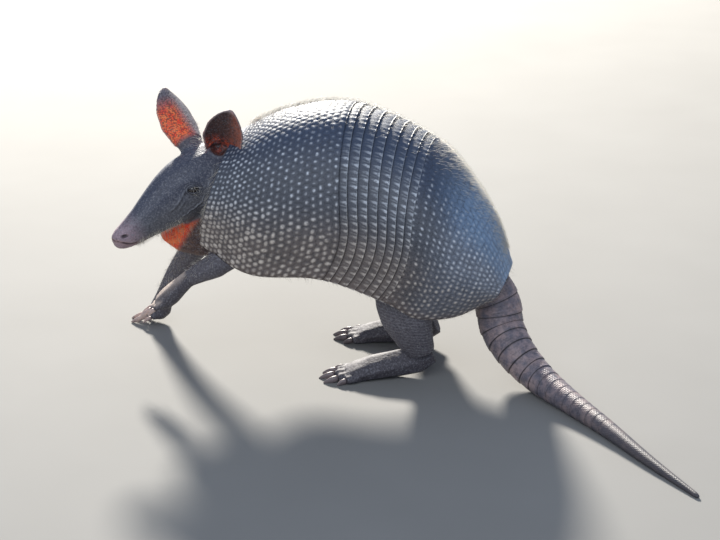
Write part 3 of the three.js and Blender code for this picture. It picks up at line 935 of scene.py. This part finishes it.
# Where each look of the skin lies: h is a point's place in the head and b its place in the body,
# both in millimetres.
h = to_head(co)
b = (co - BODY) / MM
no = vectors(skin, "normal")
distance, height, across, inside = near_ears(co)
ear = smooth(2.6, 1.6, distance) * smooth(0.0, 0.1, height)
head = part_share(["head"], co) * (1 - ear)
neck = part_share(["neck"], co) * (1 - head) * (1 - ear)
feet = part_share([f"{limb}_foot" for limb in LIMBS], co)
shafts = [f"{limb}_{part}" for limb in LIMBS for part in ("upper", "lower")]
legs = np.maximum(feet, part_share(shafts, co))
throat = neck * smooth(201, 208, -b[:, 0] + 0.65 * b[:, 2])
throat = throat * smooth(86, 92, b[:, 2]) * smooth(-6, -16, b[:, 1])
far_side = across * np.where(h[:, 1] < 0, 1, -1)
# The lower back of the far ear: a painted glow of light shining through the ear.
painted_ear_glow = ear * (1 - inside) * smooth(-0.3, 0.3, far_side) * smooth(0.88, 0.5, height)
well_distance = length_of(co - EAR_WELL)[:, 0] / MM
well = smooth(WELL_REACH + 1, WELL_REACH - 1, well_distance) * head
# The red low inside the ears and at the middle of the well is a painted glow of light shining through.
canal = np.maximum(ear * inside * smooth(0.35, 0.05, height), bell(well_distance, 3.5) * head)
mouth_distance = path_distance(np.abs(h) * (1, 1, 0) + h * (0, 0, 1), MOUTH)
paint(skin.data,
      pale=np.clip(pale, 0, 1), dark=np.clip(dark, 0, 1), legs=legs, feet=feet, canal=canal,
      # The inside of the ears and the well into the skull are painted dark as shade in the hollows.
      ear=np.maximum(ear, well), ear_inside=np.maximum(ear * inside, well),
      slate=np.clip(head * smooth(92, 74, h[:, 0]) + 0.3 * (1 - legs) * (1 - neck), 0, 1),
      pink=head * smooth(72, 95, h[:, 0]) * (1 - 0.25 * smooth(0, 4, h[:, 2])),
      shank=legs * (1 - feet) * (b[:, 0] > -20),
      cheek=head * smooth(10, -6, h[:, 2]),
      lip=head * smooth(2.2, 0.6, mouth_distance),
      # The throat and the far ear's back: painted orange-red as light shining through the skin.
      red=np.clip(throat + painted_ear_glow, 0, 1),
      earth=np.clip(neck - throat, 0, 1) * smooth(150, 130, b[:, 2]),
      # The pale strip on the tops of the forefeet, where they face up, is a painted highlight.
      cream=feet * (b[:, 0] < -90) * smooth(0.2, 0.8, no[:, 2]) * smooth(26, 40, b[:, 2]),
      # The orange-red inside one half of each ear: partly the ears' own reddish skin, partly a painted
      # glow of light shining through.
      warm=ear * inside * smooth(-0.2, 0.9, -far_side),
      rim=ear * smooth(0.9, 0.985, np.maximum(np.abs(across), height)))
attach(skin, "root")
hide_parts(*FLESH, "ear_left", "ear_right")


def skin_finish():
    """Slate skull, mauve snout, scaly legs and speckled skin; the throat and the far ear's back painted
    orange as light shining through the thin skin, with painted shade in creases and in the ears' hollows,
    and painted highlights on the folds and forepaws.
    """
    f = Finish("skin_leather")
    at = f.attribute
    legs, ear, red = map(at, ("legs", "ear", "red"))
    cloud = f.noise(13 * MM, 4.0)
    blotch = f.noise(4.5 * MM, 3.0)
    speck = f.noise(1.5 * MM, 3.0, 0.7)
    grain = f.noise(0.8 * MM, 3.0, 0.62)
    scale = f.cells(1.9 * MM)
    seam = f.cells(1.9 * MM, feature="DISTANCE_TO_EDGE")
    rows = f.cells(2.3 * MM, place=f.scaled((0.75, 0.75, 1.7)))
    pebble = f.cells(1.35 * MM)
    crease = (f.axis("Z") / SCALE_ROW * 2 * math.pi + blotch * 4.0).sin()
    calm = 1.0 - red * 0.85
    slate = f.mix(cloud, (0.038, 0.045, 0.078), (0.074, 0.080, 0.115))
    cheek = f.mix(blotch, (0.070, 0.074, 0.092), (0.15, 0.15, 0.165))
    foot = f.mix(blotch, (0.042, 0.038, 0.050), (0.085, 0.072, 0.082))
    earthy = f.mix(blotch.ramp(0.4, 0.62), (0.055, 0.018, 0.014), (0.15, 0.075, 0.045))
    pink = f.mix(blotch, (0.30, 0.19, 0.23), (0.60, 0.44, 0.48))
    ear_back = f.mix(cloud, (0.12, 0.105, 0.125), (0.21, 0.19, 0.22))
    # The orange-red of the throat and the far ear is a painted glow of light shining through the skin.
    painted_glow_tint = f.mix(blotch.ramp(0.35, 0.65), (0.92, 0.07, 0.018), (1.0, 0.235, 0.07))
    # The dark brown inside the ears and the well: painted shade in the hollows.
    painted_hollow_shade = f.mix(blotch, (0.035, 0.016, 0.013), (0.15, 0.055, 0.038))
    # The inner ear's orange: partly its own skin, partly a painted glow of light shining through.
    warm = f.mix(blotch, (0.36, 0.075, 0.04), (0.72, 0.22, 0.11))
    colour = f.over(
        f.mix(cloud, (0.072, 0.066, 0.078), (0.140, 0.124, 0.138)),
        (at("slate"), f.mix(at("cheek"), slate, cheek)),
        (legs * rows.ramp(0.42, 0.1) * 0.5, (0.22, 0.205, 0.225)),
        (at("shank") * crease.ramp(0.3, 0.95) * 0.5, (0.25, 0.235, 0.26)),
        (at("feet") * 0.75, foot),
        (at("earth") * 0.9, earthy),
        (at("pink") * (0.75 + blotch * 0.3), pink),
        (ear, ear_back),
        (red, painted_glow_tint),
        (at("ear_inside"), painted_hollow_shade),
        (at("warm"), warm),
        # The red spot in the ear's opening: a painted glow of light shining through.
        (at("canal") * blotch.ramp(0.35, 0.55), (0.85, 0.11, 0.03)),
        (ear * pebble.ramp(0.35, 0.75) * 0.7, (0.035, 0.022, 0.026)),
        ((1.0 - ear) * seam.ramp(0.16, 0.0) * 0.35, (0.022, 0.022, 0.028)),
        (speck.ramp(0.5, 0.66) * calm * 0.6, (0.235, 0.235, 0.26)),
        (speck.ramp(0.46, 0.32) * calm * 0.6, (0.024, 0.024, 0.034)),
        (grain.ramp(0.45, 0.8) * calm * 0.25, (0.21, 0.205, 0.225)),
        # A painted highlight along the tops of the forefeet.
        (at("cream") * 0.7, (0.62, 0.50, 0.42)),
        (at("lip") * 0.6, (0.30, 0.17, 0.14)),
        # On the skin, pale is painted highlight on the folds and lids, and dark is painted shade in the
        # creases, mouth, nostrils and eye slit.
        (at("pale") * 0.75, (0.33, 0.34, 0.38)),
        (at("rim") * 0.6, (0.42, 0.33, 0.32)),
        (at("dark") * 0.85, (0.014, 0.012, 0.016)),
    )
    height = grain * 0.35 - scale * (1.0 - legs) * (1.0 - ear) * 0.8 - rows * legs - pebble * ear
    gloss = 0.64 - at("slate") * 0.2 + cloud * 0.12
    return f.set(Base_Color=colour, Roughness=gloss, Normal=f.bump(height, 0.32 * MM, 0.65))


skin.data.materials.append(skin_finish())

# ---------------------------------------------------------------- the tail
# One long tapering tube that runs down to the floor and trails back to the left. Rings of small
# scutes overlap over its first part, and rows of scales go on down to the point.

TAIL = np.array([
    # x, y, z of the middle, and the half widths across and through
    (98, 2, 84, 17, 17),
    (111, 0, 60, 18.5, 18.5),
    (117, -6, 40, 18, 17.5),
    (131, -21, 26, 15.5, 15.5),
    (151, -35.5, 13.6, 12.6, 12.6),
    (178, -62.5, 8.8, 9.2, 9.2),
    (213, -101, 6, 6.5, 6.5),
    (248, -143, 3.5, 4.1, 4.1),
    (285, -185, 1.3, 1.8, 1.8),
]) * MM


TAIL_GRID = (700, 96)
RINGED_TO = 0.20
FIRST_RING = 12.5 * MM
RING_SHORTER = 0.022
RING_SUNK = 0.7 * MM
RING_STEP = 0.9
SCALE_RISE = 0.16 * MM


def tail_rings(travelled):
    """How far along its own ring each row of the tail lies, and how strongly it is ringed."""
    edges = [0.0]
    while edges[-1] < RINGED_TO:
        edges.append(edges[-1] + FIRST_RING - edges[-1] * RING_SHORTER)
    edges = np.array(edges)
    ring = np.clip(np.searchsorted(edges, travelled, side="right") - 1, 0, len(edges) - 2)
    part = np.clip((travelled - edges[ring]) / (edges[ring + 1] - edges[ring]), 0, 1)
    return part, smooth(0.215, 0.17, travelled) * (0.3 + 0.7 * smooth(0.13, 0.09, travelled))


def tail_armour():
    """The closed tube of the tail, with its rings and scales raised in the surface."""
    rows, cols = TAIL_GRID
    t = np.linspace(0, 1, rows)
    line = spline(TAIL)(t)
    centre, girth = line[:, :3], line[:, 3:]
    ahead = unit(np.gradient(centre, axis=0))
    deep = unit(np.cross(ahead, (0, 1, 0)))
    across = unit(np.cross(deep, ahead))
    travelled = np.concatenate(([0], np.cumsum(length_of(np.diff(centre, axis=0))[:, 0])))
    part, ringed = tail_rings(travelled)
    angle = np.linspace(0, 2 * math.pi, cols, endpoint=False)
    around = np.tile(angle, (rows, 1))
    girth_here = girth[:, 0][:, None]
    rise = (part**0.6 * ringed * RING_STEP * MM)[:, None] - RING_SUNK * ringed[:, None]
    round_tip = np.sqrt(1 - np.clip((t - 0.988) / 0.012, 0, 1)**2)[:, None]
    row_size = 3.1 * MM - 1.2 * MM * t[:, None]
    count = np.round(2 * math.pi * girth_here / row_size)
    phase = travelled[:, None] / (row_size * 0.9)
    row = np.floor(phase)
    cell = (around / (2 * math.pi) * np.maximum(count, 5) + 0.5 * (row % 2)) % 1
    dome = smooth(0.52, 0.2, np.hypot(cell - 0.5, phase - row - 0.5))
    lift = rise + SCALE_RISE * dome * np.minimum(1, girth_here / (8 * MM))
    half_width = (girth_here + lift) * round_tip
    half_depth = (girth[:, 1][:, None] + lift) * round_tip
    points = centre[:, None] + across[:, None] * (half_width * np.sin(around))[..., None]
    points = points + deep[:, None] * (half_depth * np.cos(around))[..., None]
    points[..., 2] = np.maximum(points[..., 2], 0.1 * MM)
    points = points + BODY
    index = np.arange(rows * cols).reshape(rows, cols)
    nxt = np.roll(index, -1, axis=1)
    quads = np.stack((index[:-1], nxt[:-1], nxt[1:], index[1:]), -1).reshape(-1, 4)
    root, tip = (np.full(cols, rows * cols + k) for k in range(2))
    ends = [np.column_stack((root, nxt[0], index[0])), np.column_stack((tip, index[-1], nxt[-1]))]
    verts = np.vstack((points.reshape(-1, 3), centre[0] + BODY, centre[-1] + BODY))
    dark = smooth(0.14, 0.03, part) * np.minimum(1, ringed * 1.3)
    dark = np.broadcast_to(dark[:, None], (rows, cols)).ravel()
    obj = make_object("tail", verts, [quads, *ends], pale=np.append(dome.ravel(), (0, 0)),
                      groove=np.append(dark, (0, 0)), along=np.append(np.repeat(t, cols), (0, 1)))
    with opened(obj) as work:
        bmesh.ops.recalc_face_normals(work, faces=work.faces)
    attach(obj, "root")
    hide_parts("tail_1", "tail_2", "tail_3", "tail_4")
    return obj


def tail_finish():
    """Mauve and grey scales, darker to the point, with dark grooves between the rings."""
    f = Finish("tail_scales")
    dome, groove, along = map(f.attribute, ("pale", "groove", "along"))
    cloud = f.noise(9 * MM, 4.0)
    blotch = f.noise(4 * MM, 5.0, 0.7)
    grain = f.noise(0.8 * MM, 3.0)
    colour = f.over(
        f.mix(cloud.ramp(0.3, 0.7), (0.130, 0.122, 0.158), (0.40, 0.29, 0.28)),
        (blotch.ramp(0.4, 0.68) * 0.6, (0.050, 0.047, 0.060)),
        (along.ramp(0.5, 0.9) * 0.9, (0.022, 0.024, 0.031)),
        (dome * 0.2, (0.27, 0.235, 0.24)),
        (grain.ramp(0.5, 0.8) * 0.3, (0.25, 0.23, 0.24)),
        (groove * 0.95, (0.009, 0.008, 0.010)),
    )
    relief = f.bump(grain + dome * 0.5, 0.25 * MM, 0.5)
    return f.set(Base_Color=colour, Roughness=0.4 + cloud * 0.2, Normal=relief)


tail = tail_armour()
tail.data.materials.append(tail_finish())

# ---------------------------------------------------------------- claws and eyes
# Solid horn, tapered and curved, pale on the forefeet and dark on the hind feet, and glossy dark
# eyeballs set between the lids. Each is a piece of its own.

CLAWS = [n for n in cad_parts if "_claw_" in n]


def claw(node):
    """A claw's own solid, rounded by subdivision."""
    obj = copy_of([node], node + "_horn", grow=0.1 * MM)
    apply(obj, "SUBSURF", levels=2, render_levels=2)
    obj.data.polygons.foreach_set("use_smooth", np.ones(len(obj.data.polygons), bool))
    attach(obj, "root")
    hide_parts(node)
    return obj


def horn_finish(name, low, high, stain):
    f = Finish(name)
    streak = f.noise(1.2 * MM, 3.0)
    cloud = f.noise(6 * MM)
    colour = f.mix(streak, low, high)
    colour = f.mix(cloud.ramp(0.45, 0.7) * 0.6, colour, stain)
    return f.set(Base_Color=colour, Roughness=0.3 + streak * 0.15, Normal=f.bump(streak, 0.12 * MM, 0.4))


fore_horn = horn_finish("fore_horn", (0.40, 0.28, 0.25), (0.66, 0.52, 0.46), (0.24, 0.16, 0.15))
hind_horn = horn_finish("hind_horn", (0.11, 0.09, 0.095), (0.24, 0.19, 0.19), (0.06, 0.045, 0.05))
for node in CLAWS:
    claw(node).data.materials.append(fore_horn if "_fore_" in node else hind_horn)


def eye(side):
    low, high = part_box(f"eye_{side}")
    obj = sphere(f"eyeball_{side}", np.array((low + high) / 2), EYE_RADIUS + 0.1 * MM)
    bpy.ops.object.shade_smooth()
    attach(obj, "root")
    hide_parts(f"eye_{side}")
    return obj


def eye_finish():
    f = Finish("eye_dark")
    cloud = f.noise(1.5 * MM)
    colour = f.mix(cloud, (0.006, 0.004, 0.004), (0.022, 0.012, 0.009))
    return f.set(Base_Color=colour, Roughness=0.06, Coat_Weight=1.0, Coat_Roughness=0.03)


eye_dark = eye_finish()
for side in SIDES:
    eye(side).data.materials.append(eye_dark)

# ---------------------------------------------------------------- the hair
# Sparse pale bristles: a fringe between the scutes along the back, longer hairs on belly,
# flanks and throat, short ones on the legs and the ears' lower edges. Each grows from its root
# in the skin or shell as a thin tapering spike.

# A hair: its patch of the unwrap, the heights of its rings of three points, how deep its root
# stands, how much it tapers, and the height over the floor in mm below which none grows.
UV_PATCH = 0.003
HAIR_STEPS = (0.0, 0.4, 0.75)
HAIR_ROOTED = 0.4
HAIR_TAPER = 0.75
HAIR_CLEAR = 12
FRINGE_COUNT = 3400


def hairs(name, roots, out, lie, length, width, stand, place, curl=0.35):
    """Tapering hairs: `lie` is the way they lie, `stand` how far they rise, `place` the root's unwrap."""
    n = len(roots)
    side = unit(np.cross(lie, out))
    ahead = unit(lie + out * np.reshape(stand, (-1, 1)))
    bend = (lie - out * 0.5) * np.reshape(length * curl, (-1, 1))
    length = np.reshape(length, (-1, 1))
    back = unit(np.cross(ahead, side))
    points = np.empty((n, 10, 3))
    for s, t in enumerate(HAIR_STEPS):
        centre = roots - out * HAIR_ROOTED * MM + ahead * length * t + bend * t**2
        thick = width * (1 - HAIR_TAPER * t)
        for k in range(3):
            turn = 2 * math.pi * k / 3
            points[:, 3 * s + k] = centre + (side * math.cos(turn) + back * math.sin(turn)) * thick
    points[:, 9] = roots + ahead * length + bend
    first = 10 * np.arange(n)[:, None]
    quads = []
    tips = []
    quad_uv = []
    tip_uv = []
    levels = (*HAIR_STEPS, 1.0)
    for k in range(3):
        nxt = (k + 1) % 3
        for s in range(2):
            quads.append(first + (3 * s + k, 3 * s + nxt, 3 * s + 3 + nxt, 3 * s + 3 + k))
            u = np.array((k, k + 1, k + 1, k)) / 3
            v = np.array((levels[s], levels[s], levels[s + 1], levels[s + 1]))
            quad_uv.append(np.column_stack((u, v)))
        tips.append(first + (6 + k, 6 + nxt, 9))
        tip_uv.append(np.array(((k / 3, levels[2]), ((k + 1) / 3, levels[2]), ((k + 0.5) / 3, 1.0))))
    tips.append(first + (2, 1, 0))
    tip_uv.append(np.array(((0, 0), (1, 0), (0.5, 0.3))))
    patch = (place - UV_PATCH / 2)[:, None]
    uv = [(patch + UV_PATCH * corner).reshape(-1, 2) for corner in quad_uv + tip_uv]
    tip = np.tile(np.append(np.repeat(HAIR_STEPS, 3), 1.0), n)
    obj = make_object(name, points.reshape(-1, 3), quads + tips, uv=np.vstack(uv), tip=tip)
    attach(obj, "root")
    return obj


def skin_unwrap(obj):
    """A function that gives each point of the skin its place on an unwrap of a thinned copy."""
    copy = obj.copy()
    copy.data = obj.data.copy()
    bpy.context.scene.collection.objects.link(copy)
    apply(copy, "DECIMATE", ratio=0.06)
    activate(copy)
    bpy.ops.object.mode_set(mode="EDIT")
    bpy.ops.mesh.select_all(action="SELECT")
    bpy.ops.uv.smart_project(angle_limit=math.radians(66), island_margin=0.004)
    bpy.ops.object.mode_set(mode="OBJECT")
    mesh = copy.data
    mesh.calc_loop_triangles()
    corners = [tuple(t.vertices) for t in mesh.loop_triangles]
    loops = [tuple(t.loops) for t in mesh.loop_triangles]
    spots = [v.co.copy() for v in mesh.vertices]
    uv = [tuple(d.vector) for d in mesh.uv_layers[0].uv]
    tree = BVHTree.FromPolygons(spots, corners)
    bpy.data.objects.remove(copy)

    def place(points):
        found = []
        for p in points.tolist():
            spot, normal, i, d = tree.find_nearest(p)
            a, b, c = (np.array(spots[k]) for k in corners[i])
            ua, ub, uc = (np.array(uv[k]) for k in loops[i])
            weights = np.linalg.lstsq(np.column_stack((a, b, c)), np.array(spot), rcond=None)[0]
            weights = np.clip(weights, 0, 1)
            found.append((weights @ np.array((ua, ub, uc))) / weights.sum())
        return np.array(found)
    return place


unwrapped = skin_unwrap(skin)
rng = np.random.default_rng(7)
REARWARD = np.array((1.0, 0.0, -0.35))
DOWN = np.array((0.25, 0.0, -1.0))


def grow(name, count, share, lie, length, width, stand, curl=0.35):
    """Hairs at random points of the skin, as often as `share` says, laid along `lie`."""
    share = np.clip(share, 0, None) * (b[:, 2] > HAIR_CLEAR)
    chosen = rng.choice(len(co), count, replace=False, p=share / share.sum())
    out = no[chosen]
    way = lie - out * (out @ lie)[:, None] + rng.normal(0, 0.22, (count, 3))
    long = length * (0.6 + 0.6 * rng.random(count)) * MM
    rise = stand * (0.7 + 0.6 * rng.random(count))
    return hairs(name, co[chosen], out, unit(way), long, width * MM, rise, unwrapped(co[chosen]), curl)


belly = (~under_shell(co)) * (1 - np.maximum(legs, np.maximum(head, ear))) * (1 - neck)
margin_line = np.interp(b[:, 0], CARAPACE[:, 4] / MM, CARAPACE[:, 5] / MM)
flank = belly * smooth(-14, -4, b[:, 2] - margin_line) * (np.abs(b[:, 1]) > 30)
jaw = head * smooth(-9, -13, h[:, 2]) * smooth(40, 52, h[:, 0]) * smooth(88, 80, h[:, 0])
shin = legs * (1 - feet) * smooth(0.2, -0.5, no[:, 0])
ear_edge = ear * (1 - inside) * smooth(0.6, 0.1, height) * smooth(0.55, 0.9, np.abs(across))
coat = [
    grow("belly_hair", 1500, belly + flank * 1.5, REARWARD, 8, 0.09, 0.35),
    grow("flank_hair", 900, flank, DOWN, 7, 0.10, 0.5),
    grow("throat_hair", 420, throat, DOWN, 5.5, 0.09, 0.45),
    grow("jaw_hair", 800, jaw, DOWN, 4, 0.09, 0.7),
    grow("fore_leg_hair", 900, shin * (b[:, 0] < -80), DOWN, 4.5, 0.10, 1.1, 0.2),
    grow("hind_leg_hair", 260, legs * (b[:, 0] > -20), DOWN, 3.5, 0.06, 0.5),
    grow("ear_hair", 220, ear_edge, REARWARD, 3.2, 0.08, 0.9),
]


def back_hair():
    """The fringe on the back: bristles that rise between the scutes and bend rearwards."""
    count = FRINGE_COUNT
    u = rng.uniform(0.04, 0.93, count)
    q = np.clip(rng.normal(0.09, 0.11, count), -0.25, 0.5)
    roots = shell_point(u, q, 0.4 * MM)
    step = 0.01
    ahead = shell_point(np.clip(u - step, 0, 1), q, 0.0)
    rear = unit(shell_point(np.clip(u + step, 0, 1), q, 0.0) - ahead)
    aside = shell_point(u, q + step, 0.0) - shell_point(u, q - step, 0.0)
    out = unit(np.cross(rear, aside))
    out *= np.sign(out[:, 2:])
    lie = unit(rear + rng.normal(0, 0.35, (count, 3)))
    lie = unit(lie - out * (lie * out).sum(1)[:, None])
    near_top = smooth(0.3, 0.05, np.abs(q)) * (1 - 0.6 * smooth(0.62, 0.78, u))
    length = (2.4 + 4.6 * near_top * (0.35 + 0.65 * rng.random(count))) * MM
    place = np.column_stack((0.01 + 0.98 * u, 0.5 + 0.49 * q))
    stand = 1.5 + 1.3 * rng.random(count)
    return hairs("back_hair", roots, out, lie, length, 0.10 * MM, stand, place, 0.5)


coat.append(back_hair())


def hair_finish():
    f = Finish("hair_cream")
    tip = f.attribute("tip")
    cloud = f.noise(9 * MM, 3.0)
    fine = f.noise(1.0 * MM, 2.0)
    colour = f.mix(cloud, (0.56, 0.49, 0.39), (0.80, 0.76, 0.67))
    colour = f.mix(tip.ramp(0.4, 0.0) * 0.4, colour, (0.26, 0.20, 0.15))
    return f.set(Base_Color=f.mix(fine * 0.3, colour, (0.80, 0.76, 0.66)), Roughness=0.45 + fine * 0.2)


cream = hair_finish()
for piece in coat:
    piece.data.materials.append(cream)

# ---------------------------------------------------------------- floor, light and camera
# A plain pale floor under soft studio light, with a lamp low behind the animal for the bright
# line along its back and ears.

AIM = Vector(BODY) + Vector((0, 0, 78)) * MM
AZIMUTH = math.radians(12)
ELEVATION = math.radians(22)
DISTANCE = 1700 * MM
LENS = 106.25
SENSOR = 36
FLOOR_SIZE = 6
SKY = (0.66, 0.78, 1.0, 1)
SKY_STRENGTH = 0.55

flat = math.cos(ELEVATION)
away = Vector((math.sin(AZIMUTH) * flat, -math.cos(AZIMUTH) * flat, math.sin(ELEVATION)))
camera_data = bpy.data.cameras.new("camera")
camera_data.lens = LENS
camera_data.sensor_width = SENSOR
camera = bpy.data.objects.new("camera", camera_data)
camera.location = AIM + away * DISTANCE
camera.rotation_euler = (-away).to_track_quat("-Z", "Y").to_euler()
bpy.context.scene.collection.objects.link(camera)
bpy.context.scene.camera = camera

bpy.ops.mesh.primitive_plane_add(size=FLOOR_SIZE, location=(0, 0, 0))
floor = bpy.context.active_object
floor.name = "floor"


def floor_finish():
    f = Finish("floor_pale")
    cloud = f.noise(120 * MM, 2.0)
    return f.set(Base_Color=f.mix(cloud, (0.215, 0.21, 0.20), (0.245, 0.24, 0.23)), Roughness=0.85)


floor.data.materials.append(floor_finish())


def lamp(name, spot, size, power, colour):
    """A round soft lamp at a place from the middle of the animal, turned to face it."""
    data = bpy.data.lights.new(name, "AREA")
    data.shape = "DISK"
    data.size = size
    data.energy = power
    data.color = colour
    obj = bpy.data.objects.new(name, data)
    obj.location = AIM + Vector(spot)
    obj.rotation_euler = (-Vector(spot)).to_track_quat("-Z", "Y").to_euler()
    bpy.context.scene.collection.objects.link(obj)


lamp("key", (-0.1, -1.7, 1.45), size=1.8, power=17, colour=(0.90, 0.95, 1.0))
lamp("rim", (-1.3, 3.3, 1.75), size=0.6, power=520, colour=(1.0, 0.95, 0.86))
world = bpy.data.worlds.new("studio")
world.use_nodes = True
sky = world.node_tree.nodes["Background"]
sky.inputs["Color"].default_value = SKY
sky.inputs["Strength"].default_value = SKY_STRENGTH
bpy.context.scene.world = world
bpy.context.scene.view_settings.view_transform = "Standard"
